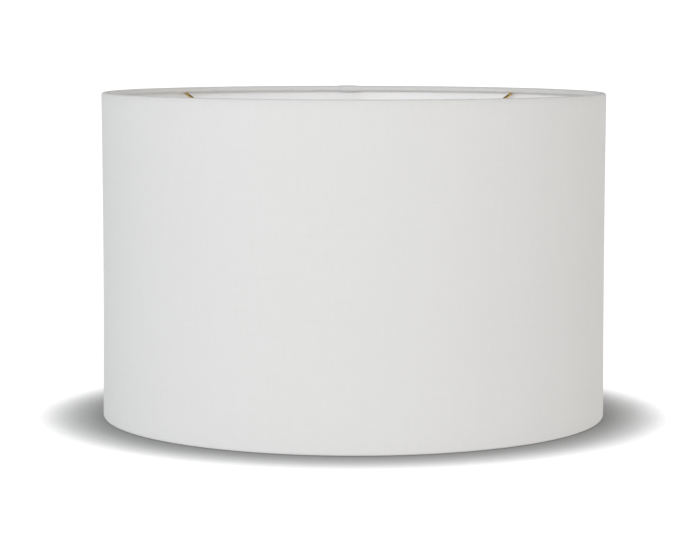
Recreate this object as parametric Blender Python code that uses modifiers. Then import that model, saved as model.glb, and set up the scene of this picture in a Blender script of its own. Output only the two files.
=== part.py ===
"""Hardback drum lamp shade on a recessed four-arm spider.

Linen is laminated to a rolled sheet of white styrene, and its edges are turned over two wire rings
and tucked behind them. A spider welded to the top ring carries the shade by the hole of its washer.

Metres, +Z up. The origin is the middle of the circle that the bottom edge stands on. +Y is the rear
of the shade, where the lining overlaps itself.
"""

import math

import bmesh
import bpy
from mathutils import Matrix

# Overall size: a 14 in drum, 9 in tall.
SHADE_DIAMETER = 0.3556
SHADE_HEIGHT = 0.2286

# Sheets, in order from the outside.
LINEN_THICKNESS = 0.0005
LINING_THICKNESS = 0.0004
TAPE_THICKNESS = 0.0002

# Turned edges.
EDGE_ROUND = 0.0016  # outer radius of the linen where it turns over the lining's edge
TUCK_ROUND = 0.0008  # outer radius of the linen where it turns up behind the ring
RING_WIRE = 0.0025

# The lining's overlap.
OVERLAP_WIDTH = 0.012
OVERLAP_STEP = 0.006  # width in which the inner lap steps in
TAPE_WIDTH = 0.008
TAPE_SHORT = 0.002  # how far the tape stops short of the inner lap's ends

# Spider.
ARM_AZIMUTHS = {
    "spider_arm_rear_right": 45,
    "spider_arm_rear_left": 135,
    "spider_arm_front_left": 225,
    "spider_arm_front_right": 315,
}
ARM_WIRE = 0.0024
ARM_SLOPE = math.radians(23.5)
ARM_BEND = 0.012  # radius of the wire's centreline
ARM_SEAT = 0.0045  # length of an arm that lies on the washer
SEAT_DROP = 0.0254  # from the top edge down to the washer's underside
WASHER_DIAMETER = 0.030
WASHER_HOLE = 0.0111
WASHER_THICKNESS = 0.002
WASHER_CHAMFER = 0.0003

CLEARANCE = 0.0003  # between any two pieces that touch on the real shade
CUTTER_MARGIN = 0.001

SMOOTH_BELOW = math.radians(35)  # edges sharper than this stay sharp

# Facets.
WALL_SEGMENTS = 72
WASHER_SEGMENTS = 32
RING_SIDES = 8
CORNER_STEPS = 3
HEM_STEPS = 6
BEND_STEPS = 4
OVERLAP_STEPS = 4

# Radii of the layers and places of the rings, from the sizes above.
OUTER_RADIUS = SHADE_DIAMETER / 2
LINING_RADIUS = OUTER_RADIUS - LINEN_THICKNESS - CLEARANCE - LINING_THICKNESS / 2
LINING_INNER = LINING_RADIUS - LINING_THICKNESS / 2
TAPE_RADIUS = LINING_INNER - CLEARANCE - TAPE_THICKNESS / 2
INNER_LAP_RADIUS = TAPE_RADIUS - TAPE_THICKNESS / 2 - CLEARANCE - LINING_THICKNESS / 2
TUCK_RADIUS = LINING_INNER - CLEARANCE
RING_RADIUS = TUCK_RADIUS - LINEN_THICKNESS - CLEARANCE - RING_WIRE / 2
HEM_ROUND = RING_WIRE / 2 + CLEARANCE + LINEN_THICKNESS
HEM_HEIGHT = 2 * HEM_ROUND
SEAT_HEIGHT = SHADE_HEIGHT - SEAT_DROP

# Name: base colour, roughness and metallic.
FINISHES = {
    "white_linen": ((0.86, 0.86, 0.85, 1.0), 0.9, 0.0),
    "white_styrene": ((0.88, 0.88, 0.89, 1.0), 0.35, 0.0),
    "clear_tape": ((0.80, 0.79, 0.74, 1.0), 0.4, 0.0),
    "brass_plate": ((0.72, 0.53, 0.25, 1.0), 0.3, 1.0),
}


def make_collection(name):
    collection = bpy.data.collections.new(name)
    bpy.context.scene.collection.children.link(collection)
    return collection


def make_material(name):
    colour, roughness, metallic = FINISHES[name]
    material = bpy.data.materials.new(name)
    material.use_nodes = True
    shader = material.node_tree.nodes["Principled BSDF"]
    shader.inputs["Base Color"].default_value = colour
    shader.inputs["Roughness"].default_value = roughness
    shader.inputs["Metallic"].default_value = metallic
    return material


def add_piece(name, data, collection, parent, finish):
    """A new object in its finish, under the empty that its group hangs from."""
    piece = bpy.data.objects.new(name, data)
    collection.objects.link(piece)
    piece.parent = parent
    data.materials.append(finish)
    return piece


def add_empty(name, collection, parent=None, height=0.0):
    empty = bpy.data.objects.new(name, None)
    collection.objects.link(empty)
    empty.parent = parent
    empty.location.z = height
    return empty


def arc(centre, radius, start, end, steps):
    """Points (r, z) of an arc about centre between two angles in degrees, both ends included."""
    angles = [math.radians(start + (end - start) * step / steps) for step in range(steps + 1)]
    return [
        (centre[0] + radius * math.cos(angle), centre[1] + radius * math.sin(angle))
        for angle in angles
    ]


def profile_mesh(name, points, closed=False):
    """A wire mesh of a profile of (r, z) points, standing in the XZ plane."""
    outline = bmesh.new()
    corners = [outline.verts.new((r, 0.0, z)) for r, z in points]
    for pair in zip(corners, corners[1:]):
        outline.edges.new(pair)
    if closed:
        outline.edges.new((corners[-1], corners[0]))
    mesh = bpy.data.meshes.new(name)
    outline.to_mesh(mesh)
    outline.free()
    return mesh


def turn(piece, segments):
    """Turns a profile round Z."""
    screw = piece.modifiers.new("Turn", "SCREW")
    screw.steps = segments
    screw.render_steps = segments
    screw.use_merge_vertices = True
    screw.merge_threshold = 0.00001


def give_wall(piece, thickness, offset):
    """Thickens a surface: offset -1 puts the wall behind its faces, and 0 centres it on them."""
    solidify = piece.modifiers.new("Wall", "SOLIDIFY")
    solidify.thickness = thickness
    solidify.offset = offset
    solidify.use_even_offset = True


def hem_points():
    """The top hem's visible face, from the tucked end behind the ring round to the outer wall."""
    ring = (RING_RADIUS, SHADE_HEIGHT - HEM_ROUND)
    tuck = (TUCK_RADIUS - TUCK_ROUND, SHADE_HEIGHT - HEM_HEIGHT + TUCK_ROUND)
    edge = (OUTER_RADIUS - EDGE_ROUND, SHADE_HEIGHT - EDGE_ROUND)
    return (
        [(TUCK_RADIUS, SHADE_HEIGHT - HEM_ROUND)]
        + arc(tuck, TUCK_ROUND, 0, -90, CORNER_STEPS)
        + arc(ring, HEM_ROUND, -90, -270, HEM_STEPS)
        + arc(edge, EDGE_ROUND, 90, 0, CORNER_STEPS)
    )


def make_slit_cutter(collection):
    """An upright block at each arm, from the ring's inner side to the gap behind the tuck."""
    inner = RING_RADIUS - RING_WIRE / 2
    outer = TUCK_RADIUS + CLEARANCE / 2
    low = SHADE_HEIGHT - HEM_HEIGHT - CUTTER_MARGIN
    high = SHADE_HEIGHT - HEM_ROUND + CLEARANCE
    blocks = bmesh.new()
    for azimuth in ARM_AZIMUTHS.values():
        block = bmesh.ops.create_cube(blocks, size=1.0)["verts"]
        for corner in block:
            corner.co.x = inner if corner.co.x < 0 else outer
            corner.co.y *= ARM_WIRE + 2 * CLEARANCE
            corner.co.z = low if corner.co.z < 0 else high
        turned = Matrix.Rotation(math.radians(azimuth), 3, "Z")
        bmesh.ops.rotate(blocks, verts=block, matrix=turned)
    mesh = bpy.data.meshes.new("slit_cutter")
    blocks.to_mesh(mesh)
    blocks.free()
    cutter = bpy.data.objects.new("slit_cutter", mesh)
    collection.objects.link(cutter)
    cutter.display_type = "WIRE"
    cutter.hide_render = True
    return cutter


def make_cover(collection, cutters, parent, finish):
    """The linen: a straight wall, turned over a ring at each edge and slit where an arm comes in."""
    top = hem_points()
    bottom = [(r, SHADE_HEIGHT - z) for r, z in reversed(top)]
    mesh = profile_mesh("linen_cover", top + bottom)
    cover = add_piece("linen_cover", mesh, collection, parent, finish)
    turn(cover, WALL_SEGMENTS)
    give_wall(cover, LINEN_THICKNESS, offset=-1.0)
    slits = cover.modifiers.new("Slits", "BOOLEAN")
    slits.operation = "DIFFERENCE"
    slits.object = make_slit_cutter(cutters)


def wall_point(radius, angle):
    """Plan point (x, y) on the faceted wall of this corner radius, at any angle in radians."""
    facet = 2 * math.pi / WALL_SEGMENTS
    from_middle = angle % facet - facet / 2
    distance = radius * math.cos(facet / 2) / math.cos(from_middle)
    return distance * math.cos(angle), distance * math.sin(angle)


def wall_angles(start, end):
    """The wall's own corner angles between two angles, with both of those at the ends."""
    facet = 2 * math.pi / WALL_SEGMENTS
    first = math.floor(start / facet) + 1
    last = math.ceil(end / facet) - 1
    return [start] + [corner * facet for corner in range(first, last + 1)] + [end]


def raise_strip(sheet, path, heights):
    """Adds an upright strip to a bmesh: a plan path lifted from the first height to each of the next."""
    corners = [sheet.verts.new((x, y, heights[0])) for x, y in path]
    edges = [sheet.edges.new(pair) for pair in zip(corners, corners[1:])]
    for low, high in zip(heights, heights[1:]):
        grown = bmesh.ops.extrude_edge_only(sheet, edges=edges)["geom"]
        lifted = {item for item in grown if isinstance(item, bmesh.types.BMVert)}
        bmesh.ops.translate(sheet, vec=(0.0, 0.0, high - low), verts=list(lifted))
        edges = [
            item
            for item in grown
            if isinstance(item, bmesh.types.BMEdge) and lifted.issuperset(item.verts)
        ]


def strip_mesh(name, sheet):
    """The mesh of a finished bmesh of strips, joined where they meet."""
    bmesh.ops.remove_doubles(sheet, verts=sheet.verts[:], dist=CLEARANCE / 100)
    bmesh.ops.recalc_face_normals(sheet, faces=sheet.faces[:])
    mesh = bpy.data.meshes.new(name)
    sheet.to_mesh(mesh)
    sheet.free()
    return mesh


def make_lining(collection, parent, finish):
    """The styrene: one turn of full height, then a lap that steps in behind its own first edge."""
    start = math.pi / 2 - OVERLAP_WIDTH / 2 / LINING_RADIUS
    step_end = start + 2 * math.pi - CLEARANCE / LINING_RADIUS
    step_start = step_end - OVERLAP_STEP / LINING_RADIUS
    lap_end = start + 2 * math.pi + OVERLAP_WIDTH / LINING_RADIUS
    full_turn = [wall_point(LINING_RADIUS, angle) for angle in wall_angles(start, step_start)]
    inner_lap = []
    for step in range(OVERLAP_STEPS + 1):
        share = step / OVERLAP_STEPS
        radius = LINING_RADIUS + (INNER_LAP_RADIUS - LINING_RADIUS) * share * share * (3 - 2 * share)
        inner_lap.append(wall_point(radius, step_start + (step_end - step_start) * share))
    inner_lap += [wall_point(INNER_LAP_RADIUS, angle) for angle in wall_angles(step_end, lap_end)[1:]]
    hem_clear = HEM_HEIGHT + CLEARANCE
    edges = [EDGE_ROUND, hem_clear, SHADE_HEIGHT - hem_clear, SHADE_HEIGHT - EDGE_ROUND]
    sheet = bmesh.new()
    raise_strip(sheet, full_turn, edges)
    raise_strip(sheet, inner_lap, edges[1:3])
    lining = add_piece("styrene_lining", strip_mesh("styrene_lining", sheet), collection, parent, finish)
    give_wall(lining, LINING_THICKNESS, offset=0.0)


def make_tape(collection, parent, finish):
    """Double-sided tape that holds the lining's two laps together."""
    middle = math.pi / 2
    reach = TAPE_WIDTH / 2 / TAPE_RADIUS
    path = [wall_point(TAPE_RADIUS, angle) for angle in wall_angles(middle - reach, middle + reach)]
    low = HEM_HEIGHT + CLEARANCE + TAPE_SHORT
    sheet = bmesh.new()
    raise_strip(sheet, path, [low, SHADE_HEIGHT - low])
    tape = add_piece("seam_tape", strip_mesh("seam_tape", sheet), collection, parent, finish)
    give_wall(tape, TAPE_THICKNESS, offset=0.0)


def make_ring(name, height, collection, parent, finish):
    """A butt-welded ring of round wire."""
    bpy.ops.mesh.primitive_torus_add(
        major_radius=RING_RADIUS,
        minor_radius=RING_WIRE / 2,
        major_segments=WALL_SEGMENTS,
        minor_segments=RING_SIDES,
    )
    ring = bpy.context.object
    ring.name = name
    for holder in list(ring.users_collection):
        holder.objects.unlink(ring)
    collection.objects.link(ring)
    ring.parent = parent
    ring.location.z = height
    ring.data.materials.append(finish)


def make_washer(collection, parent, finish):
    """The flat washer that sits on the harp, with its underside at the group's own height."""
    outer = WASHER_DIAMETER / 2
    hole = WASHER_HOLE / 2
    top = WASHER_THICKNESS
    cut = WASHER_CHAMFER
    points = [
        (outer - cut, top),
        (outer, top - cut),
        (outer, cut),
        (outer - cut, 0.0),
        (hole + cut, 0.0),
        (hole, cut),
        (hole, top - cut),
        (hole + cut, top),
    ]
    mesh = profile_mesh("spider_washer", points, closed=True)
    washer = add_piece("spider_washer", mesh, collection, parent, finish)
    turn(washer, WASHER_SEGMENTS)


def arm_points():
    """An arm's centreline as (r, z) above the seat: along the washer, round the bend, up to the ring."""
    along = WASHER_THICKNESS + CLEARANCE + ARM_WIRE / 2
    reach = RING_WIRE / 2 + CLEARANCE + ARM_WIRE / 2
    end = (
        RING_RADIUS + reach * math.sin(ARM_SLOPE),
        SEAT_DROP - HEM_ROUND - reach * math.cos(ARM_SLOPE),
    )
    corner = end[0] - (end[1] - along) / math.tan(ARM_SLOPE)
    bend = (corner - ARM_BEND * math.tan(ARM_SLOPE / 2), along + ARM_BEND)
    inner = (WASHER_DIAMETER / 2 - ARM_SEAT, along)
    return [inner] + arc(bend, ARM_BEND, -90, math.degrees(ARM_SLOPE) - 90, BEND_STEPS) + [end]


def make_arm(name, azimuth, collection, parent, finish):
    """One spoke of round wire, welded to the washer's top and to the ring's underside."""
    curve = bpy.data.curves.new(name, "CURVE")
    curve.dimensions = "3D"
    curve.bevel_depth = ARM_WIRE / 2
    curve.bevel_resolution = 2
    curve.use_fill_caps = True
    points = arm_points()
    spline = curve.splines.new("POLY")
    spline.points.add(len(points) - 1)
    for point, (r, z) in zip(spline.points, points):
        point.co = (r, 0.0, z, 1.0)
    arm = add_piece(name, curve, collection, parent, finish)
    arm.rotation_euler.z = math.radians(azimuth)


def main():
    for item in list(bpy.data.objects):
        bpy.data.objects.remove(item, do_unlink=True)
    collection = make_collection("lamp_shade")
    cutters = make_collection("cutters")
    linen, styrene, tape, brass = [make_material(name) for name in FINISHES]
    shade = add_empty("lamp_shade_frame", collection)
    spider = add_empty("spider_frame", collection, shade, SEAT_HEIGHT)
    make_cover(collection, cutters, shade, linen)
    make_lining(collection, shade, styrene)
    make_tape(collection, shade, tape)
    make_ring("top_ring", SHADE_HEIGHT - HEM_ROUND, collection, shade, brass)
    make_ring("bottom_ring", HEM_ROUND, collection, shade, brass)
    make_washer(collection, spider, brass)
    for name, azimuth in ARM_AZIMUTHS.items():
        make_arm(name, azimuth, collection, spider, brass)
    for mesh in bpy.data.meshes:
        mesh.shade_smooth()
        mesh.set_sharp_from_angle(angle=SMOOTH_BELOW)


main()
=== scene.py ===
import math

import bmesh
import bpy
import numpy as np
from mathutils import Matrix, Vector


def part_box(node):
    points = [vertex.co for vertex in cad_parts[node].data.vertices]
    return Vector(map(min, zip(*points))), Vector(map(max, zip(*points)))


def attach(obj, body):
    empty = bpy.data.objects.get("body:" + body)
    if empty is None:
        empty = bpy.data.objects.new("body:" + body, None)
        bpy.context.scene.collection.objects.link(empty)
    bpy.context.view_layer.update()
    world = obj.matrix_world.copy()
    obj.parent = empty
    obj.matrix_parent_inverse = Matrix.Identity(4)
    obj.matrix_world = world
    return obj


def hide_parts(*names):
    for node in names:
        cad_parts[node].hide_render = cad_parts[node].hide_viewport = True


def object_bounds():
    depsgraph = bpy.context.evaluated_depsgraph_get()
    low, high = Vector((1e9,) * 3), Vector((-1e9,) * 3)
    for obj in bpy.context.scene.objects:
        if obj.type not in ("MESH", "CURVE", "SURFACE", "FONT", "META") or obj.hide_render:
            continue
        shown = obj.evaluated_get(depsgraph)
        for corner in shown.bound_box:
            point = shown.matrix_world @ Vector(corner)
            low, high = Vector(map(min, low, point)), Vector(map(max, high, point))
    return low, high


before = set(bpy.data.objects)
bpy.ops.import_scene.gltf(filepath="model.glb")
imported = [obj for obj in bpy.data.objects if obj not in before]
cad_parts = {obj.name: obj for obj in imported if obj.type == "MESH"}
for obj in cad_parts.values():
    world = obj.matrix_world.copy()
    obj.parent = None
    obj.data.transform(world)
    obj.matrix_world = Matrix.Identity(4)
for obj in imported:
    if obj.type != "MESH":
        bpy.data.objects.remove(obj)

cad_low, cad_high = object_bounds()
shade_height = cad_high.z


# ---------------------------------------------------------------------------------------------
# Spider washer. A flat disc stamped from 2 mm steel sheet, with a 7/16 in hole for the harp's
# stud. The punch leaves the upper edges round and the lower ones nearly sharp. It is brass
# plated together with the wires that are welded to it.

WASHER_HOLE_RADIUS = 0.0111 / 2
PUNCHED_ROUND = 0.00045
BURR_ROUND = 0.00018
WASHER_CORNER_STEPS = 5
WASHER_STATIONS = 128
BRASS_DULLNESS = 0.55
BRASS_BRIGHT = (0.74, 0.53, 0.19, 1.0)
BRASS_DULL = (0.42, 0.30, 0.11, 1.0)
HEAT_TINT = (0.20, 0.12, 0.05, 1.0)
MERGE = 1e-7  # points closer than this become one

washer_low, washer_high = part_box("spider_washer")


def add_node(tree, kind, inputs=None, **options):
    """Adds a shader node, sets its options, and fills its inputs with values or other sockets."""
    made = tree.nodes.new("ShaderNode" + kind)
    for option, value in options.items():
        setattr(made, option, value)
    for key, value in (inputs or {}).items():
        if isinstance(value, bpy.types.NodeSocket):
            tree.links.new(value, made.inputs[key])
        else:
            made.inputs[key].default_value = value
    return made


def compute(tree, operation, *values):
    """A Math node's result."""
    return add_node(tree, "Math", dict(enumerate(values)), operation=operation).outputs[0]


def rescale(tree, value, low, high, new_low=0.0, new_high=1.0):
    """A value moved from one range to another, and held inside the new one."""
    spans = {"Value": value, "From Min": low, "From Max": high, "To Min": new_low, "To Max": new_high}
    return add_node(tree, "MapRange", spans).outputs["Result"]


def blend_colours(tree, share, first, second):
    """The first colour at share 0, and the second at share 1."""
    return add_node(tree, "Mix", {0: share, 6: first, 7: second}, data_type="RGBA").outputs[2]


def noise(tree, place, scale, detail=2.0, stretch=(1.0, 1.0, 1.0)):
    """Noise from 0 to 1 at a scale in cells per metre, stretched along the axes."""
    moved = add_node(tree, "Mapping", {"Vector": place, "Scale": stretch}).outputs["Vector"]
    return add_node(tree, "TexNoise", {"Vector": moved, "Scale": scale, "Detail": detail}).outputs[0]


def new_group(name, inputs, outputs):
    """An empty node group with these sockets, and its input and output nodes."""
    group = bpy.data.node_groups.new(name, "ShaderNodeTree")
    for label, kind in inputs.items():
        group.interface.new_socket(label, in_out="INPUT", socket_type="NodeSocket" + kind)
    for label, kind in outputs.items():
        group.interface.new_socket(label, in_out="OUTPUT", socket_type="NodeSocket" + kind)
    return group, group.nodes.new("NodeGroupInput").outputs, group.nodes.new("NodeGroupOutput").inputs


def use_group(tree, group, inputs):
    """Places a group in a material and gives its outputs."""
    made = tree.nodes.new("ShaderNodeGroup")
    made.node_tree = group
    for key, value in inputs.items():
        if isinstance(value, bpy.types.NodeSocket):
            tree.links.new(value, made.inputs[key])
        else:
            made.inputs[key].default_value = value
    return made.outputs


def new_material(name):
    """An empty material: its tree and its output node's surface socket."""
    material = bpy.data.materials.new(name)
    material.use_nodes = True
    material.node_tree.nodes.clear()
    surface = material.node_tree.nodes.new("ShaderNodeOutputMaterial").inputs["Surface"]
    return material, material.node_tree, surface


def skin(name, patches, is_closed=True, attributes=None, keep=None):
    """A smooth mesh from grids of points, rows by columns.

    patches holds (points, rows wrap, columns wrap). Every four neighbouring points make a quad, and
    a grid that wraps is joined back to its first row or column. attributes holds a value or a
    vector for each point, in the patches' order, and keep says which quads stay. Points that fall
    together are merged, which closes the poles.
    """
    corners, starts = [], 0
    for points, rows_wrap, columns_wrap in patches:
        rows, columns = points.shape[:2]
        index = starts + np.arange(rows * columns).reshape(rows, columns)
        index = np.concatenate([index, index[:1]]) if rows_wrap else index
        index = np.concatenate([index, index[:, :1]], axis=1) if columns_wrap else index
        quads = [index[:-1, :-1], index[:-1, 1:], index[1:, 1:], index[1:, :-1]]
        corners.append(np.stack(quads, axis=-1).reshape(-1, 4))
        starts += rows * columns
    places = np.concatenate([points.reshape(-1, 3) for points, _, _ in patches])
    corners = np.concatenate(corners)
    corners = corners if keep is None else corners[keep.ravel()]
    return make_mesh(name, places, corners, attributes or {}, is_closed)


def make_mesh(name, places, corners, attributes, is_closed):
    """The mesh of these points and quads, merged, and turned outwards where it is closed."""
    mesh = bpy.data.meshes.new(name)
    mesh.vertices.add(len(places))
    mesh.vertices.foreach_set("co", places.astype(np.float32).ravel())
    mesh.loops.add(corners.size)
    mesh.loops.foreach_set("vertex_index", corners.astype(np.int32).ravel())
    mesh.polygons.add(len(corners))
    mesh.polygons.foreach_set("loop_start", np.arange(0, corners.size, 4, dtype=np.int32))
    mesh.update(calc_edges=True)
    for label, values in attributes.items():
        is_vector = values.ndim > 1
        made = mesh.attributes.new(label, "FLOAT_VECTOR" if is_vector else "FLOAT", "POINT")
        made.data.foreach_set("vector" if is_vector else "value", values.astype(np.float32).ravel())
    work = bmesh.new()
    work.from_mesh(mesh)
    bmesh.ops.remove_doubles(work, verts=work.verts[:], dist=MERGE)
    bmesh.ops.dissolve_degenerate(work, edges=work.edges[:], dist=MERGE)
    bmesh.ops.delete(work, geom=[corner for corner in work.verts if not corner.link_faces], context="VERTS")
    if is_closed:
        bmesh.ops.recalc_face_normals(work, faces=work.faces[:])
    work.to_mesh(mesh)
    work.free()
    mesh.shade_smooth()
    return mesh


def add_piece(name, mesh, material, slot, *nodes):
    """Puts a mesh on the shade's one body, in the place of these CAD nodes."""
    piece = bpy.data.objects.new(name, mesh)
    bpy.context.scene.collection.objects.link(piece)
    mesh.materials.append(material)
    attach(piece, "root")
    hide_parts(*nodes)
    return piece


def corner_arc(centre, radius, start, end, steps):
    """Points (r, z) round a corner between two angles in degrees, both included."""
    angles = np.radians(np.linspace(start, end, steps + 1))
    return np.stack([centre[0] + radius * np.cos(angles), centre[1] + radius * np.sin(angles)], axis=1)


def turned(profile, angles):
    """A profile of (r, z) points at each angle round Z: rows follow the profile."""
    r, z = profile[:, :1], profile[:, 1:]
    level = np.broadcast_to(z, (len(profile), len(angles)))
    return np.stack([r * np.cos(angles), r * np.sin(angles), level], axis=-1)


def washer_profile():
    """The washer's cut face: a rectangle whose corners are rounded more above than below."""
    outer, top, bottom = washer_high.x, washer_high.z, washer_low.z
    corners = (
        (outer - PUNCHED_ROUND, top - PUNCHED_ROUND, PUNCHED_ROUND, 90, 0),
        (outer - BURR_ROUND, bottom + BURR_ROUND, BURR_ROUND, 0, -90),
        (WASHER_HOLE_RADIUS + BURR_ROUND, bottom + BURR_ROUND, BURR_ROUND, -90, -180),
        (WASHER_HOLE_RADIUS + PUNCHED_ROUND, top - PUNCHED_ROUND, PUNCHED_ROUND, 180, 90),
    )
    return np.concatenate([corner_arc((r, z), radius, start, end, WASHER_CORNER_STEPS)
                           for r, z, radius, start, end in corners])


def make_plate_wear():
    """Wear of thin plate: soft dull patches, fine draw lines along Z, and a colour change by heat."""
    group, given, put = new_group(
        "Plate wear",
        {"Place": "Vector", "Bright": "Color", "Dull": "Color", "Tint": "Color", "Heat": "Float",
         "Dullness": "Float"},
        {"Colour": "Color", "Roughness": "Float", "Height": "Float"})
    patches = noise(group, given["Place"], 140.0, 4.0)
    lines = noise(group, given["Place"], 5200.0, 2.0, (1.0, 1.0, 0.02))
    pits = noise(group, given["Place"], 2600.0, 3.0)
    dull = compute(group, "MULTIPLY", rescale(group, patches, 0.42, 0.68), given["Dullness"])
    plate = blend_colours(group, dull, given["Bright"], given["Dull"])
    edge = noise(group, given["Place"], 900.0, 3.0)
    heat = compute(group, "MULTIPLY", given["Heat"], rescale(group, edge, 0.2, 0.7, 0.55, 1.0))
    heated = blend_colours(group, heat, plate, given["Tint"])
    marks = compute(group, "MULTIPLY_ADD", lines, 0.7, compute(group, "MULTIPLY", pits, 0.3))
    worn = compute(group, "MULTIPLY_ADD", dull, 0.16, compute(group, "MULTIPLY", heat, 0.15))
    rough = compute(group, "ADD", worn, rescale(group, marks, 0.3, 0.7, 0.10, 0.18))
    group.links.new(heated, put["Colour"])
    group.links.new(rough, put["Roughness"])
    group.links.new(marks, put["Height"])
    return group


def make_brass():
    """Bright brass plate. "place" follows a wire as if it were straight, and "heat" marks welds."""
    material, tree, surface = new_material("brass_plate")
    place = add_node(tree, "Attribute", attribute_name="place").outputs["Vector"]
    heat = add_node(tree, "Attribute", attribute_name="heat").outputs["Fac"]
    worn = use_group(tree, make_plate_wear(), {
        "Place": place, "Heat": heat, "Dullness": BRASS_DULLNESS,
        "Bright": BRASS_BRIGHT, "Dull": BRASS_DULL, "Tint": HEAT_TINT})
    bump = add_node(tree, "Bump", {"Height": worn["Height"], "Strength": 0.35, "Distance": 0.00006})
    shader = add_node(tree, "BsdfPrincipled", {
        "Base Color": worn["Colour"], "Roughness": worn["Roughness"],
        "Metallic": 1.0, "Normal": bump.outputs[0]})
    tree.links.new(shader.outputs[0], surface)
    return material


brass = make_brass()
round_angles = np.linspace(0, 2 * np.pi, WASHER_STATIONS, endpoint=False)
washer_points = turned(washer_profile(), round_angles)
washer_places = washer_points.reshape(-1, 3)
washer = add_piece(
    "fitter_washer",
    skin("fitter_washer", [(washer_points, True, True)],
         attributes={"place": washer_places, "heat": np.zeros(len(washer_places))}),
    brass, "brass_plate", "spider_washer")


# ---------------------------------------------------------------------------------------------
# Spokes. Four lengths of 2.4 mm steel wire, bent once so that they come down from the top ring
# and run level to the washer. The welder squeezes each inner end flat on the washer's top and
# fuses the outer end under the ring, which leaves small lumps and a brown heat mark.

SPOKE_AZIMUTHS = {"rear_right": 45.0, "rear_left": 135.0, "front_left": 225.0, "front_right": 315.0}
SPOKE_WIRE = 0.0012        # radius
SPOKE_SLOPE = math.radians(23.5)
SPOKE_BEND = 0.012         # radius of the centreline
SPOKE_SEAT = 0.0045        # length that lies on the washer
SQUEEZED_WIDER = 0.34      # share added to the width on the washer, and half of it under the ring
SQUEEZED_THINNER = 0.30    # share taken off the height in the same places
SQUEEZE_FADE = 0.0075
WELD_SINK = 0.00012
CUT_ROUND = 0.0005
CUT_FACE = 0.6             # the flat cut face's share of the wire's width
HEAT_REACH = 0.004
SPOKE_SIDES = 24
SEAT_BEAD = (0.0019, 0.0008, 0.0006)     # half lengths outwards, sideways and up
RING_BEAD = (0.0010, 0.0011, 0.00055)    # half lengths along the wire, sideways and across
SEAT_BEAD_ASIDE = 1.3      # in wire radii from the centreline
RING_BEAD_ASIDE = 0.75
BEAD_ALONG = 0.45          # share of the seat, in from the washer's edge
BEAD_RISE = 0.00015
BEAD_HEAT = 0.9

ring_low, ring_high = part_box("top_ring")
ring_wire = (ring_high.z - ring_low.z) / 2
ring_radius = ring_high.x - ring_wire
ring_height = (ring_low.z + ring_high.z) / 2
spoke_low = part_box("spider_arm_rear_right")[0]
weld_gap = spoke_low.z - washer_high.z
spoke_start = washer_high.x - SPOKE_SEAT
spoke_level = spoke_low.z + SPOKE_WIRE
reach = ring_wire + weld_gap + SPOKE_WIRE
spoke_end_r = ring_radius + reach * math.sin(SPOKE_SLOPE)
spoke_end_z = ring_height - reach * math.cos(SPOKE_SLOPE)
bend_corner = spoke_end_r - (spoke_end_z - spoke_level) / math.tan(SPOKE_SLOPE)
level_run = bend_corner - spoke_start - SPOKE_BEND * math.tan(SPOKE_SLOPE / 2)
slope_run = (spoke_end_z - spoke_level) / math.sin(SPOKE_SLOPE) - SPOKE_BEND * math.tan(SPOKE_SLOPE / 2)
spoke_length = level_run + SPOKE_BEND * SPOKE_SLOPE + slope_run


def ease(share):
    """A smooth step from 0 to 1 as share goes from 0 to 1: three squares less two cubes."""
    held = np.clip(share, 0.0, 1.0)
    return held * held * (3 - 2 * held)


def frame_at(azimuth):
    """Unit vectors outwards, sideways and up at an azimuth in degrees."""
    angle = math.radians(azimuth)
    outward = np.array([math.cos(angle), math.sin(angle), 0.0])
    sideways = np.array([-math.sin(angle), math.cos(angle), 0.0])
    return outward, sideways, np.array([0.0, 0.0, 1.0])


def spoke_stations():
    """Distances along a spoke: close together at both cut ends and round the bend."""
    cut = CUT_ROUND * (1 - np.cos(np.linspace(0, np.pi / 2, 5)))
    squeezed = np.linspace(CUT_ROUND, SQUEEZE_FADE * 1.3, 12)[1:]
    level = np.linspace(squeezed[-1], level_run, 18)[1:]
    bend = np.linspace(level_run, level_run + SPOKE_BEND * SPOKE_SLOPE, 14)[1:]
    slope = np.linspace(bend[-1], spoke_length - SQUEEZE_FADE, 12)[1:]
    welded = np.linspace(slope[-1], spoke_length - CUT_ROUND, 12)[1:]
    return np.concatenate([[0.0], cut, squeezed, level, bend, slope, welded, spoke_length - cut[::-1][1:],
                           [spoke_length]])


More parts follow.
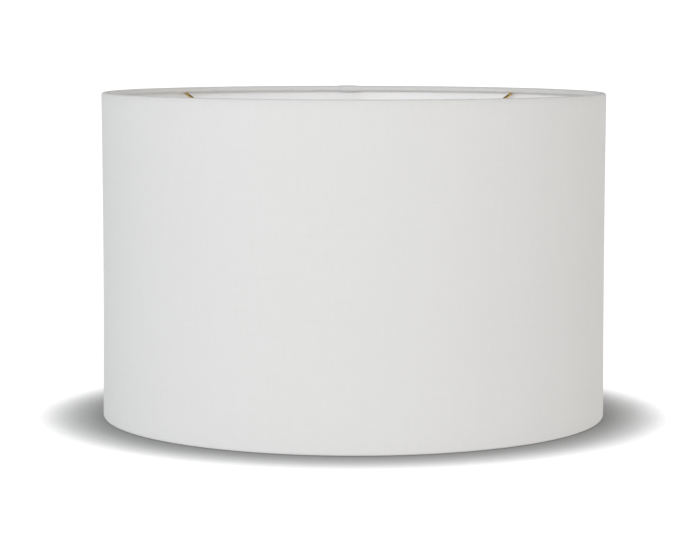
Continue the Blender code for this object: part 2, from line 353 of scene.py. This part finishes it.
def make_spoke(name, azimuth, seed):
    """A spoke and its weld lumps as one mesh.

    The centreline runs level, turns through the slope's angle about the bend, and goes straight on.
    The section is an ellipse, wider and thinner where it was squeezed, and it shrinks to a point at
    each cut end.
    """
    outward, sideways, up = frame_at(azimuth)
    run = spoke_stations()
    turn = np.clip((run - level_run) / SPOKE_BEND, 0, SPOKE_SLOPE)
    beyond = np.clip(run - level_run - SPOKE_BEND * SPOKE_SLOPE, 0, None)
    r = spoke_start + np.minimum(run, level_run) + SPOKE_BEND * np.sin(turn)
    r = r + beyond * math.cos(SPOKE_SLOPE)
    z = spoke_level + SPOKE_BEND * (1 - np.cos(turn)) + beyond * math.sin(SPOKE_SLOPE)
    squeeze = 1 - ease(run / SQUEEZE_FADE)
    press = 1 - ease((spoke_length - run) / SQUEEZE_FADE)
    wide = SPOKE_WIRE * (1 + SQUEEZED_WIDER * squeeze + SQUEEZED_WIDER / 2 * press)
    high = SPOKE_WIRE * (1 - SQUEEZED_THINNER * squeeze - SQUEEZED_THINNER / 2 * press)
    z = z - squeeze * (weld_gap + WELD_SINK + SPOKE_WIRE * SQUEEZED_THINNER)
    lift = press * (weld_gap + WELD_SINK)
    r, z = r - lift * np.sin(turn), z + lift * np.cos(turn)
    from_end = np.minimum(run, spoke_length - run)
    cut = np.sqrt(1 - np.clip(1 - from_end / CUT_ROUND, 0, 1) ** 2)
    shrink = CUT_FACE + (1 - CUT_FACE) * cut
    shrink[[0, -1]] = 0.0
    centre = r[:, None] * outward + z[:, None] * up
    normal = -np.sin(turn)[:, None] * outward + np.cos(turn)[:, None] * up
    around = np.linspace(0, 2 * np.pi, SPOKE_SIDES, endpoint=False)
    across = (wide * shrink)[:, None] * np.cos(around)
    rise = (high * shrink)[:, None] * np.sin(around)
    points = centre[:, None] + across[..., None] * sideways + rise[..., None] * normal[:, None]
    length = np.broadcast_to(run[:, None], across.shape)
    place = np.stack([across, rise, length], axis=-1).reshape(-1, 3)
    heat = np.exp(-(np.broadcast_to(from_end[:, None], across.shape) / HEAT_REACH) ** 2).ravel()
    patches, places, heats = [(points, False, True)], [place], [heat]
    seat = washer_high.x - SPOKE_SEAT * BEAD_ALONG
    fused = np.array([ring_radius + ring_wire * math.sin(SPOKE_SLOPE),
                      ring_height - ring_wire * math.cos(SPOKE_SLOPE)])
    tilted = math.cos(SPOKE_SLOPE) * outward + math.sin(SPOKE_SLOPE) * up
    raised = -math.sin(SPOKE_SLOPE) * outward + math.cos(SPOKE_SLOPE) * up
    for side in (-1, 1):
        beside = (seat * outward + side * SEAT_BEAD_ASIDE * SPOKE_WIRE * sideways
                  + (washer_high.z + BEAD_RISE) * up)
        below = fused[0] * outward + fused[1] * up + side * RING_BEAD_ASIDE * SPOKE_WIRE * sideways
        for centre_point, axes, lengths in (
            (beside, (outward, sideways, up), SEAT_BEAD),
            (below, (tilted, sideways, raised), RING_BEAD),
        ):
            lump = weld_lump(centre_point, axes, lengths, seed + side)
            patches.append((lump, False, True))
            places.append(lump.reshape(-1, 3))
            heats.append(np.full(lump.shape[0] * lump.shape[1], BEAD_HEAT))
    attributes = {"place": np.concatenate(places), "heat": np.concatenate(heats)}
    mesh = skin(name, patches, attributes=attributes)
    return add_piece(name, mesh, brass, "brass_plate", name.replace("spoke", "spider_arm"))


def weld_lump(centre, axes, lengths, seed):
    """A bead of fused metal: an ellipsoid whose radius swells and dips by a few low waves."""
    polar = np.linspace(0, np.pi, 13)[:, None]
    around = np.linspace(0, 2 * np.pi, 20, endpoint=False)[None]
    wave = 0.10 * np.sin(3 * around + seed) * np.sin(polar) + 0.08 * np.sin(4 * polar + 1.7 * seed)
    swell = 1 + wave * np.sin(polar)
    parts = (np.cos(polar) * np.ones_like(around), np.sin(polar) * np.cos(around),
             np.sin(polar) * np.sin(around))
    return centre + sum((swell * part * length)[..., None] * axis
                        for part, length, axis in zip(parts, lengths, axes))


for number, (corner, azimuth) in enumerate(SPOKE_AZIMUTHS.items()):
    make_spoke("spoke_" + corner, azimuth, 2.3 * number)


# ---------------------------------------------------------------------------------------------
# Rings. Two hoops of 2.5 mm steel wire, rolled round and butt welded at the rear. The top one
# carries the spokes. Both end up hidden inside the turned edges of the linen.

RING_STATIONS = 360
RING_SIDES = 16
BUTT_WELD = math.radians(101)
BUTT_WELD_LENGTH = 0.0015
BUTT_WELD_SWELL = 0.12

near_weld = BUTT_WELD + np.linspace(-3, 3, 13) * BUTT_WELD_LENGTH / ring_radius
ring_angles = np.sort(np.concatenate([np.linspace(0, 2 * np.pi, RING_STATIONS, endpoint=False), near_weld]))


def make_ring(name, height, node):
    """A hoop: a circle of wire carried round Z, a little thicker where its ends were welded."""
    from_weld = (ring_angles - BUTT_WELD) * ring_radius
    swell = ring_wire * (1 + BUTT_WELD_SWELL * np.exp(-(from_weld / BUTT_WELD_LENGTH) ** 2))
    around = np.linspace(0, 2 * np.pi, RING_SIDES, endpoint=False)[:, None]
    r = ring_radius + swell * np.cos(around)
    z = height + swell * np.sin(around)
    points = np.stack([r * np.cos(ring_angles), r * np.sin(ring_angles), z], axis=-1)
    length = np.broadcast_to(ring_angles * ring_radius, r.shape)
    place = np.stack([swell * np.cos(around), swell * np.sin(around), length], axis=-1).reshape(-1, 3)
    heat = np.broadcast_to(np.exp(-(from_weld / HEAT_REACH) ** 2), r.shape).ravel()
    mesh = skin(name, [(points, True, True)], attributes={"place": place, "heat": heat})
    return add_piece(name, mesh, brass, "brass_plate", node)


make_ring("upper_hoop", ring_height, "top_ring")
make_ring("lower_hoop", shade_height - ring_height, "bottom_ring")


# ---------------------------------------------------------------------------------------------
# Lining. One sheet of 0.35 mm white styrene, rolled into a drum. Its second end laps 12 mm inside
# the first at the rear, and steps in over 6 mm. The linen is glued all over its outer face.

STYRENE = 0.00035
LINEN = 0.00030
GLUE = 0.00005
TAPE = 0.00010
LAP_WIDTH = 0.012
LAP_STEP = 0.006
WAIST = 0.00054       # how far the wall draws in between the rings
THREE_WAVES = 0.00010  # how far the wall is out of round, with 3, 7 and 11 waves round it
SEVEN_WAVES = 0.00006
ELEVEN_WAVES = 0.00004
TUCK_REACH = 0.0043   # from each edge to the end of the linen's tuck
HEM_REACH = 0.0056    # from each edge to where the inner lap begins
REAR = math.pi / 2
LINING_COLUMNS = 400
WALL_ROWS = 25
LAP_COLUMNS = 9
STYRENE_WHITE = (0.905, 0.900, 0.905, 1.0)
STYRENE_CLOUDED = (0.890, 0.884, 0.888, 1.0)
STYRENE_GLOW = (0.90, 0.89, 0.89, 1.0)
STYRENE_SHARE = 0.15

linen_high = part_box("linen_cover")[1]
lining_low, lining_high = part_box("styrene_lining")
linen_radius = linen_high.x - LINEN / 2
lining_radius = linen_radius - LINEN / 2 - GLUE - STYRENE / 2
inner_lap_radius = lining_radius - STYRENE - TAPE - 2 * GLUE


def wall_wave(angle, height):
    """How far the wall stands out: in at the waist and slightly out of round, and nothing at the rings."""
    fade = np.sin(np.pi * np.clip(height / shade_height, 0, 1))
    wave = THREE_WAVES * np.sin(3 * angle + 0.6) + SEVEN_WAVES * np.sin(7 * angle + 1.9)
    return fade * (wave + ELEVEN_WAVES * np.sin(11 * angle + 24 * height) - WAIST)


def give_thickness(piece, thickness):
    """A wall centred on the sheet, shaded as flat right up to its narrow cut edges."""
    wall = piece.modifiers.new("Thickness", "SOLIDIFY")
    wall.thickness = thickness
    wall.offset = 0.0
    wall.use_even_offset = True
    piece.modifiers.new("Flat to the edges", "WEIGHTED_NORMAL").weight = 50


def make_lining():
    """A strip along a circle that becomes a smaller circle by an eased step, over a range of heights.

    Beside the linen's tucked edges the step is pressed back to nothing, and the inner lap is cut away.
    """
    first = REAR - LAP_WIDTH / 2 / lining_radius
    step_end = first + 2 * math.pi - 2 * GLUE / lining_radius
    step_start = step_end - LAP_STEP / lining_radius
    last = first + 2 * math.pi + LAP_WIDTH / lining_radius
    angle = np.concatenate([np.linspace(first, step_start, LINING_COLUMNS),
                            np.linspace(step_start, step_end, LAP_COLUMNS)[1:],
                            np.linspace(step_end, last, LAP_COLUMNS)[1:]])
    inner = np.linspace(HEM_REACH, shade_height - HEM_REACH, WALL_ROWS)
    height = np.concatenate([[lining_low.z, TUCK_REACH], inner,
                             [shade_height - TUCK_REACH, lining_high.z]])[:, None]
    freed = ease((np.minimum(height, shade_height - height) - TUCK_REACH) / (HEM_REACH - TUCK_REACH))
    step = ease((angle - step_start) / (step_end - step_start))
    r = lining_radius + freed * step * (inner_lap_radius - lining_radius) + wall_wave(angle, height)
    points = np.stack([r * np.cos(angle), r * np.sin(angle), np.broadcast_to(height, r.shape)], axis=-1)
    run = np.broadcast_to(angle * lining_radius, r.shape)
    place = np.stack([run, np.broadcast_to(height, r.shape), np.zeros(r.shape)], axis=-1).reshape(-1, 3)
    lapped = angle[1:] > step_end + MERGE
    keep = np.ones((len(height) - 1, len(angle) - 1), bool)
    keep[:2, lapped] = keep[-2:, lapped] = False
    return skin("lining_sheet", [(points, False, False)], is_closed=False,
                attributes={"place": place}, keep=keep)


def lit_through(tree, surface, share, shader, glow, normal):
    """A thin sheet's surface: a share of the light goes on through it, spread out.

    A wall has two faces. Light that has come in through one leaves by the back of the other
    unchanged, so that the sheet dims it once.
    """
    through = add_node(tree, "BsdfTranslucent", {"Color": glow, "Normal": normal})
    near = add_node(tree, "MixShader", {0: share, 1: shader.outputs[0], 2: through.outputs[0]})
    clear = add_node(tree, "BsdfTransparent")
    behind = tree.nodes.new("ShaderNodeNewGeometry").outputs["Backfacing"]
    sheet = add_node(tree, "MixShader", {0: behind, 1: near.outputs[0], 2: clear.outputs[0]})
    tree.links.new(sheet.outputs[0], surface)


def make_styrene():
    """Satin white sheet that lets some light through, with a faint orange peel and roller lines."""
    material, tree, surface = new_material("white_styrene")
    place = add_node(tree, "Attribute", attribute_name="place").outputs["Vector"]
    peel = noise(tree, place, 420.0, 2.0)
    rollers = noise(tree, place, 900.0, 2.0, (1.0, 0.03, 1.0))
    height = compute(tree, "MULTIPLY_ADD", peel, 0.7, compute(tree, "MULTIPLY", rollers, 0.3))
    bump = add_node(tree, "Bump", {"Height": height, "Strength": 0.25, "Distance": 0.0001})
    cloud = noise(tree, place, 24.0, 3.0)
    colour = blend_colours(tree, rescale(tree, cloud, 0.3, 0.7), STYRENE_WHITE, STYRENE_CLOUDED)
    shader = add_node(tree, "BsdfPrincipled", {
        "Base Color": colour, "Roughness": rescale(tree, cloud, 0.3, 0.7, 0.36, 0.44),
        "Normal": bump.outputs[0]})
    lit_through(tree, surface, STYRENE_SHARE, shader, STYRENE_GLOW, bump.outputs[0])
    return material


styrene = make_styrene()
lining = add_piece("lining_sheet", make_lining(), styrene, "white_styrene", "styrene_lining")
give_thickness(lining, STYRENE)


# ---------------------------------------------------------------------------------------------
# Seam tape. A strip of clear double-sided film, 8 mm wide, that holds the lining's laps together.

TAPE_WIDTH = 0.008
TAPE_WANDER = 0.0003  # how far its cut ends stray
TAPE_CLEAR = (0.90, 0.89, 0.85, 1.0)
TAPE_YELLOWED = (0.88, 0.86, 0.80, 1.0)
TAPE_SHARE = 0.92
tape_low, tape_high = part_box("seam_tape")


def make_tape_sheet():
    """An upright strip between the two laps, whose cut ends wander a little."""
    radius = (inner_lap_radius + lining_radius) / 2
    reach = TAPE_WIDTH / 2 / radius
    angle = np.linspace(REAR - reach, REAR + reach, LAP_COLUMNS)
    share = np.linspace(0, 1, WALL_ROWS)[:, None]
    cut = TAPE_WANDER * np.sin(5 * (angle - REAR) / reach)
    height = tape_low.z + (tape_high.z - tape_low.z) * share + cut * (1 - 2 * share)
    r = radius + wall_wave(angle, height)
    points = np.stack([r * np.cos(angle), r * np.sin(angle), height], axis=-1)
    return skin("lap_tape", [(points, False, False)], is_closed=False)


def make_film():
    """Clear film over a tacky, slightly yellow glue."""
    material, tree, surface = new_material("clear_tape")
    place = add_node(tree, "TexCoord").outputs["Object"]
    cloud = noise(tree, place, 350.0, 4.0)
    bump = add_node(tree, "Bump", {"Height": cloud, "Strength": 0.3, "Distance": 0.00005})
    colour = blend_colours(tree, cloud, TAPE_CLEAR, TAPE_YELLOWED)
    shader = add_node(tree, "BsdfPrincipled", {
        "Base Color": colour, "Roughness": rescale(tree, cloud, 0.3, 0.7, 0.25, 0.4),
        "Normal": bump.outputs[0]})
    lit_through(tree, surface, TAPE_SHARE, shader, TAPE_CLEAR, bump.outputs[0])
    return material


tape = add_piece("lap_tape", make_tape_sheet(), make_film(), "clear_tape", "seam_tape")
give_thickness(tape, TAPE)


# ---------------------------------------------------------------------------------------------
# Linen. One length of plain-woven white linen, cut 254 mm tall. It is glued to the lining. Its
# second end is folded under and laps the first by 12 mm at the rear. Its long edges are turned
# over the rings and tucked between them and the lining, and the top one is slit at each spoke.

EDGE_ROUND = 0.0016   # over the lining's edge, outer face
TUCK_ROUND = 0.0008   # up behind the ring, outer face
SLIT_START = 236.0    # degrees round the ring, from outwards over the top
EDGE_ROWS = 7         # rows over the lining's edge
RING_ROWS = 11        # rows round the ring, down to where the slits start
SLIT_HALF = 0.0016
SLIT_RAMP = 0.0026
SLIT_REACH = 0.0055
SLIT_COLUMNS = (0.00012, 0.0006, 0.0012, 0.0020, 0.0030, 0.0042, 0.0055)
LAP_CLIMB = 0.005
TURN_UNDER = 0.009
TRIMMED = 0.006       # from each hem down to where the turned-under edge is trimmed away
TUCKED_ROWS = 8       # rows of each tuck that are cut away under the lap
TURNED_COLUMNS = 11   # columns of the turn and of what runs back under the lap
COLUMN_STEP = 0.0025
PUCKER = 0.00002
THREAD_PITCH = 0.00052
LINEN_WHITE = (0.752, 0.747, 0.738, 1.0)
LINEN_SLUB_AND_GAP_SHADE = (0.712, 0.705, 0.692, 1.0)
LINEN_GLOW = (0.86, 0.85, 0.83, 1.0)
LINEN_SHARE = 0.14

hem_round = shade_height - ring_height
tuck_radius = lining_radius - STYRENE / 2 - GLUE - LINEN / 2
layer = LINEN + GLUE


def top_hem():
    """The sheet from the wall's top to its tucked end, as rows of r, z and the outer face's normal.

    A corner over the lining's edge, a flat, half a turn round the ring, a flat, a corner, and the
    upright tuck.
    """
    edge = np.array([linen_radius + LINEN / 2 - EDGE_ROUND, shade_height - EDGE_ROUND])
    ring = np.array([ring_radius, ring_height])
    tuck_centre = np.array([tuck_radius + LINEN / 2 - TUCK_ROUND, ring_height - hem_round + TUCK_ROUND])
    turns = (
        (edge, EDGE_ROUND, np.linspace(0, 90, EDGE_ROWS)),
        (ring, hem_round, np.concatenate([np.linspace(90, SLIT_START, RING_ROWS),
                                          np.linspace(SLIT_START, 270, 4)[1:]])),
        (tuck_centre, TUCK_ROUND, np.linspace(270, 360, 5)),
    )
    rows = []
    for centre, radius, degrees in turns:
        angles = np.radians(degrees)
        normal = np.stack([np.cos(angles), np.sin(angles)], axis=1)
        rows.append(np.concatenate([centre + (radius - LINEN / 2) * normal, normal], axis=1))
    end = np.array([[tuck_radius, ring_height, 1.0, 0.0]])
    return np.concatenate(rows + [(rows[-1][-1:] + end) / 2, end])


def linen_rows():
    """The whole profile, from the bottom's tucked end up to the top's, and the distance along it."""
    top = top_hem()
    bottom = top[::-1] * (1, -1, 1, -1) + (0, shade_height, 0, 0)
    near = EDGE_ROUND + TRIMMED * np.array((0.35, 0.7, 1.0))
    rises = np.concatenate([near, np.linspace(near[-1], shade_height - near[-1], 13)[1:-1],
                            shade_height - near[::-1]])
    wall = np.stack([np.full(len(rises), linen_radius), rises, np.ones(len(rises)), np.zeros(len(rises))],
                    axis=1)
    rows = np.concatenate([bottom, wall, top])
    run = np.concatenate([[0.0], np.cumsum(np.hypot(*np.diff(rows[:, :2], axis=0).T))])
    return rows, run, run[-len(top):]


def linen_columns():
    """Where each column lies: its distance round the wall from the first end, and its layers' height.

    The sheet goes once round, climbs two layers, laps its first end, turns under and runs back
    between the two.
    """
    around = 2 * math.pi * linen_radius
    spokes = [(math.radians(azimuth) - lap_start) % (2 * math.pi) * linen_radius
              for azimuth in SPOKE_AZIMUTHS.values()]
    plain = np.linspace(0, around - LAP_CLIMB, round(around / COLUMN_STEP))
    clear = np.min(np.abs(plain[:, None] - spokes), axis=1) > SLIT_REACH + COLUMN_STEP / 3
    beside = [spoke + side * np.array(SLIT_COLUMNS) for spoke in spokes for side in (-1, 1)]
    turn = np.linspace(0, np.pi, 7)
    climb = np.linspace(around - LAP_CLIMB, around, 8)[1:]
    lap = np.linspace(around, around + LAP_WIDTH, 6)[1:-1]
    back = np.linspace(around + LAP_WIDTH, around + LAP_WIDTH - TURN_UNDER, 5)[1:]
    flat = np.sort(np.concatenate([plain[clear]] + beside))
    where = np.concatenate([flat, climb, lap, around + LAP_WIDTH + layer / 2 * np.sin(turn), back])
    lift = np.concatenate([np.zeros(len(flat)), 2 * layer * ease((climb - climb[0] + 1e-4) / LAP_CLIMB),
                           np.full(len(lap), 2 * layer), layer * (1.5 + 0.5 * np.cos(turn)),
                           np.full(len(back), layer)])
    return where, lift, spokes


def make_linen():
    """The sheet as one grid: a column's point is the profile's, moved out along the profile's normal.

    Beside a slit the columns move apart by an opening that grows as the root of the distance from
    its start, and fades over a few millimetres. The turned edges pucker with several short waves.
    """
    rows, run, top_run = linen_rows()
    where, lift, spokes = linen_columns()
    slit_row = len(rows) - len(top_hem()) + EDGE_ROWS + RING_ROWS - 1
    past_slit = np.clip(run - run[slit_row], 0, None)[:, None]
    opening = SLIT_HALF * np.sqrt(np.clip(past_slit / SLIT_RAMP, 0, 1))
    moved = np.broadcast_to(where, (len(rows), len(where))).copy()
    for spoke in spokes:
        aside = where - spoke
        fade = np.clip(1 - (np.abs(aside) - SLIT_COLUMNS[0]) / (SLIT_REACH - SLIT_COLUMNS[0]), 0, 1)
        moved += np.sign(aside) * fade * np.clip(opening - SLIT_COLUMNS[0], 0, None)
    angle = lap_start + moved / linen_radius
    from_wall = np.minimum(run, run[-1] - run)[:, None]
    hem_run = top_run[-1] - top_run[0]
    turned_in = ease((hem_run - from_wall) / hem_run * 1.6 - 0.3)
    pucker = sum(np.sin(count * angle + phase + 90 * from_wall) for count, phase in
                 ((83, 0.4), (107, 2.0), (131, 4.4), (173, 1.1))) * PUCKER / 2
    untrimmed = ease((from_wall - hem_run) / TRIMMED)
    out = lift * (0.5 + 0.5 * untrimmed) + turned_in * pucker
    r = rows[:, :1] + rows[:, 2:3] * out + wall_wave(angle, rows[:, 1:2])
    z = rows[:, 1:2] + rows[:, 3:4] * out
    points = np.stack([r * np.cos(angle), r * np.sin(angle), z], axis=-1)
    along = np.concatenate([[0.0], np.cumsum(np.hypot(np.diff(where), np.diff(lift)))])
    flat = np.stack(np.broadcast_arrays(along, run[:, None], 0.0), axis=-1).reshape(-1, 3)
    middle = (where[1:] + where[:-1]) / 2
    in_slit = np.min(np.abs(middle[:, None] - spokes), axis=1) < SLIT_COLUMNS[0] / 2
    keep = np.ones((len(rows) - 1, len(where) - 1), bool)
    keep[slit_row:, in_slit] = False
    lapped = lift[1:] > 0
    keep[:TUCKED_ROWS, lapped] = keep[-TUCKED_ROWS:, lapped] = False
    turned_under = np.arange(len(where) - 1) >= len(where) - TURNED_COLUMNS
    trimmed = np.flatnonzero(untrimmed[:-1, 0] < 1)
    keep[np.ix_(trimmed, turned_under)] = False
    mesh = skin("linen_sheet", [(points, False, False)], is_closed=False,
                attributes={"place": flat}, keep=keep)
    return mesh, (along[-1], run[-1])


def make_weave():
    """A plain weave over a sheet's own run, in metres.

    Each thread's section is the size of a sine across it. The product of the two sines takes it over
    and under. Slubs are noise stretched along the threads.
    """
    group, given, put = new_group(
        "Linen weave", {"Place": "Vector", "Pitch": "Float"},
        {"Height": "Float", "Slub": "Float", "Painted gap shade": "Float"})
    place = given["Place"]
    wander = compute(group, "MULTIPLY", given["Pitch"], 1.1)
    parts = add_node(group, "SeparateXYZ", {0: place}).outputs
    sines, slubs = [], []
    for axis, stretch in ((0, (1.0, 0.06, 1.0)), (1, (0.06, 1.0, 1.0))):
        sway = compute(group, "SUBTRACT", noise(group, place, 330.0, 1.0, stretch), 0.5)
        across = compute(group, "MULTIPLY_ADD", sway, wander, parts[axis])
        turns = compute(group, "DIVIDE", compute(group, "MULTIPLY", across, math.pi), given["Pitch"])
        sines.append(compute(group, "SINE", turns))
        fine = noise(group, place, 1300.0, 1.0, stretch)
        longer = tuple(0.5 * part if part < 1 else part for part in stretch)
        broad = noise(group, place, 520.0, 2.0, longer)
        slubs.append(compute(group, "MULTIPLY", compute(group, "ADD", fine, broad), 0.5))
    crossing = compute(group, "MULTIPLY", *sines)
    warp = compute(group, "ADD", compute(group, "ABSOLUTE", sines[0]), crossing)
    weft = compute(group, "SUBTRACT", compute(group, "ABSOLUTE", sines[1]), crossing)
    warp = compute(group, "MULTIPLY", warp, rescale(group, slubs[0], 0.3, 0.7, 0.35, 0.65))
    weft = compute(group, "MULTIPLY", weft, rescale(group, slubs[1], 0.3, 0.7, 0.35, 0.65))
    height = compute(group, "MAXIMUM", warp, weft)
    group.links.new(height, put["Height"])
    group.links.new(compute(group, "MULTIPLY", compute(group, "ADD", *slubs), 0.5), put["Slub"])
    # Painted shade mask: 1 where the threads part and the weave is low, 0 on their tops.
    group.links.new(rescale(group, height, 0.32, 0.05), put["Painted gap shade"])
    return group


def make_linen_material():
    """Matt, slightly warm white threads with random slubs, and painted shade in the gaps where they part.
    """
    material, tree, surface = new_material("white_linen")
    place = add_node(tree, "Attribute", attribute_name="place").outputs["Vector"]
    weave = use_group(tree, make_weave(), {"Place": place, "Pitch": THREAD_PITCH})
    cloud = noise(tree, place, 16.0, 3.0)
    shade = compute(tree, "ADD", rescale(tree, weave["Slub"], 0.62, 0.38, 0.0, 0.5),
                    rescale(tree, cloud, 0.3, 0.7, 0.0, 0.12))
    # Painted shade: half again towards the darker linen colour in the gaps between the threads.
    shade = compute(tree, "MULTIPLY_ADD", weave["Painted gap shade"], 0.5, shade)
    colour = blend_colours(tree, shade, LINEN_WHITE, LINEN_SLUB_AND_GAP_SHADE)
    height = compute(tree, "MULTIPLY_ADD", weave["Slub"], 0.8, weave["Height"])
    bump = add_node(tree, "Bump", {"Height": height, "Strength": 0.55, "Distance": 0.00012})
    shader = add_node(tree, "BsdfPrincipled", {
        "Base Color": colour, "Roughness": 0.88, "Sheen Weight": 0.04, "Sheen Roughness": 0.5,
        "Normal": bump.outputs[0]})
    lit_through(tree, surface, LINEN_SHARE, shader, LINEN_GLOW, bump.outputs[0])
    return material


lap_start = REAR - LAP_WIDTH / 2 / linen_radius
linen_mesh, linen_cut = make_linen()
linen = add_piece("linen_sheet", linen_mesh, make_linen_material(), "white_linen", "linen_cover")
give_thickness(linen, LINEN)


# ---------------------------------------------------------------------------------------------
# Studio. A pale floor that glows evenly and sweeps up far behind the shade, with a painted contact
# shadow in its glow where the shade stands, a white sky that is dim overhead and behind, and one
# large soft light in front on the left.

FLOOR_FLAT = 3.2         # radius of the flat part
FLOOR_SWEEP = 2.6        # radius of the curve up
FLOOR_INNER = 0.6
FLOOR_STATIONS = 96
FLOOR_SWEEP_STEPS = 24
FLOOR_PALE = (0.30, 0.30, 0.30, 1.0)
FLOOR_GLOW = 3.15
# Painted contact shadow: the floor's glow is darkened by ambient occlusion within this reach, raised to
# this power.
CONTACT_SHADOW_REACH = 0.055    # distance within which something standing on the floor darkens it
CONTACT_SHADOW_DEPTH = 4.5
SKY_LEVEL = 1.06         # at the horizon
SKY_MIDDLE = 0.97        # halfway up
SKY_TOP = 0.03           # shares of that level, overhead and on each side
SKY_BELOW = 0.70
SKY_BEHIND = 0.62
SKY_LEFT = 0.95
SKY_RIGHT = 1.09
SKY_COOL = (0.95, 0.975, 1.0, 1.0)
SKY_WARM = (1.0, 0.99, 0.975, 1.0)
KEY_PLACE = (-1.10, -2.45, 0.90)
KEY_SIZE = 1.0
KEY_WATTS = 24.0
KEY_COOL = (0.95, 0.97, 1.0)
LIGHT_BOUNCES = 10  # enough for light that passes between the sheets

sweep = corner_arc((FLOOR_FLAT, FLOOR_SWEEP), FLOOR_SWEEP, -90, 0, FLOOR_SWEEP_STEPS)
floor_profile = np.concatenate([[[0.0, 0.0], [FLOOR_INNER, 0.0]], sweep])[::-1]
floor_profile[:, 1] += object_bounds()[0].z
floor_points = turned(floor_profile, np.linspace(0, 2 * np.pi, FLOOR_STATIONS, endpoint=False))
floor_mesh = skin("studio_floor", [(floor_points, False, True)], is_closed=False)
floor = bpy.data.objects.new("studio_floor", floor_mesh)
bpy.context.scene.collection.objects.link(floor)
floor_material, floor_tree, floor_surface = new_material("pale_floor")
floor_matt = add_node(floor_tree, "BsdfDiffuse", {"Color": FLOOR_PALE})
# Painted contact shadow: the glow is multiplied by the occlusion near the shade.
floor_occlusion = add_node(floor_tree, "AmbientOcclusion", {"Distance": CONTACT_SHADOW_REACH}, samples=8)
painted_contact_shadow = compute(floor_tree, "POWER", floor_occlusion.outputs["AO"], CONTACT_SHADOW_DEPTH)
floor_glow = add_node(floor_tree, "Emission", {
    "Color": FLOOR_PALE, "Strength": compute(floor_tree, "MULTIPLY", painted_contact_shadow, FLOOR_GLOW)})
floor_both = add_node(floor_tree, "AddShader", {0: floor_matt.outputs[0], 1: floor_glow.outputs[0]})
floor_below = floor_tree.nodes.new("ShaderNodeNewGeometry").outputs["Backfacing"]
floor_clear = add_node(floor_tree, "BsdfTransparent")
floor_sides = add_node(floor_tree, "MixShader", {
    0: floor_below, 1: floor_both.outputs[0], 2: floor_clear.outputs[0]})
floor_tree.links.new(floor_sides.outputs[0], floor_surface)
floor_mesh.materials.append(floor_material)
floor.visible_diffuse = False
floor.visible_shadow = False

world = bpy.data.worlds.new("studio")
world.use_nodes = True
sky_tree = world.node_tree
towards = add_node(sky_tree, "TexCoord").outputs["Generated"]
parts = add_node(sky_tree, "SeparateXYZ", {0: towards}).outputs
walls = rescale(sky_tree, parts["Z"], 0.1, 0.65, SKY_LEVEL, SKY_MIDDLE)
ceiling = rescale(sky_tree, parts["Z"], 0.65, 0.88, 1.0, SKY_TOP)
ground = rescale(sky_tree, parts["Z"], -0.3, 0.0, SKY_BELOW, 1.0)
behind = rescale(sky_tree, parts["Y"], 0.2, 1.0, 1.0, SKY_BEHIND)
across = rescale(sky_tree, parts["X"], -1.0, 1.0, SKY_LEFT, SKY_RIGHT)
strength = walls
for level in (ceiling, ground, behind, across):
    strength = compute(sky_tree, "MULTIPLY", strength, level)
side = rescale(sky_tree, parts["X"], -1.0, 0.4)
sky = sky_tree.nodes["Background"].inputs
sky_tree.links.new(blend_colours(sky_tree, side, SKY_COOL, SKY_WARM), sky["Color"])
sky_tree.links.new(strength, sky["Strength"])
bpy.context.scene.world = world

key = bpy.data.lights.new("key", "AREA")
key.shape = "DISK"
key.size = KEY_SIZE
key.energy = KEY_WATTS
key.color = KEY_COOL
key_light = bpy.data.objects.new("key", key)
key_light.location = KEY_PLACE
from_shade = key_light.location - Vector((0.0, 0.0, shade_height / 2))
key_light.rotation_euler = from_shade.to_track_quat("Z", "Y").to_euler()
key_light.visible_camera = False
bpy.context.scene.collection.objects.link(key_light)
bpy.context.scene.view_settings.view_transform = "Standard"
bpy.context.scene.cycles.diffuse_bounces = LIGHT_BOUNCES


# ---------------------------------------------------------------------------------------------
# Camera. A long lens a little above the rim, looking slightly down.

LENS = 122.85  # mm on a 36 mm sensor
CAMERA_DISTANCE = 1.693
CAMERA_ABOVE = 0.0468
CAMERA_AZIMUTH = math.radians(-91.75)
CAMERA_TILT = math.radians(4.77)
CAMERA_ROLL = math.radians(0.085)
SHIFT_ACROSS = -0.0052
SHIFT_UP = -0.0629

camera = bpy.data.cameras.new("camera")
camera.lens = LENS
camera.sensor_width = 36.0
camera.shift_x = SHIFT_ACROSS
camera.shift_y = SHIFT_UP
camera_object = bpy.data.objects.new("camera", camera)
camera_object.location = (CAMERA_DISTANCE * math.cos(CAMERA_AZIMUTH),
                          CAMERA_DISTANCE * math.sin(CAMERA_AZIMUTH), shade_height + CAMERA_ABOVE)
turn = Matrix.Rotation(CAMERA_AZIMUTH + math.pi / 2, 3, "Z")
tilt = Matrix.Rotation(math.pi / 2 - CAMERA_TILT, 3, "X")
roll = Matrix.Rotation(CAMERA_ROLL, 3, "Z")
camera_object.rotation_euler = (turn @ tilt @ roll).to_euler()
bpy.context.scene.collection.objects.link(camera_object)
bpy.context.scene.camera = camera_object
